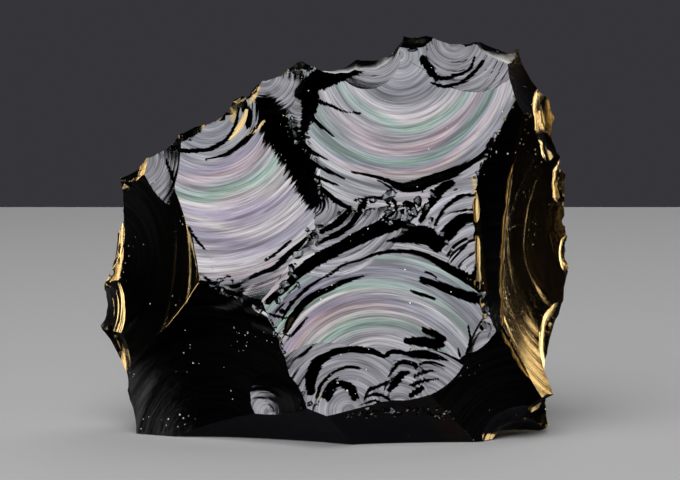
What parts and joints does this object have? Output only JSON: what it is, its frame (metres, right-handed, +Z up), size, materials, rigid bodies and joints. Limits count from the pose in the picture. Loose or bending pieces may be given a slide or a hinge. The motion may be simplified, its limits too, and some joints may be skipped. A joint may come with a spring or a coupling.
{
  "type": "obsidian chunk",
  "caption": "Hand-sized chunk of black volcanic glass, broken all over in rippled shell-shaped scars, with a thin chipped rim and a flat underside to rest on.",
  "frame": {"origin": "on the flat underside the chunk rests on, below the middle of its length", "axes": "+X along the chunk to the right as seen facing the rippled scars, +Y from the rippled scars to the back, +Z up"},
  "size_m": [0.1186, 0.0577, 0.0989],
  "materials": {
    "obsidian": "glossy black natural glass with a faint pastel sheen on the great scars"
  },
  "bodies": {
    "root": {"obsidian_chunk": "obsidian"}
  },
  "joints": []
}
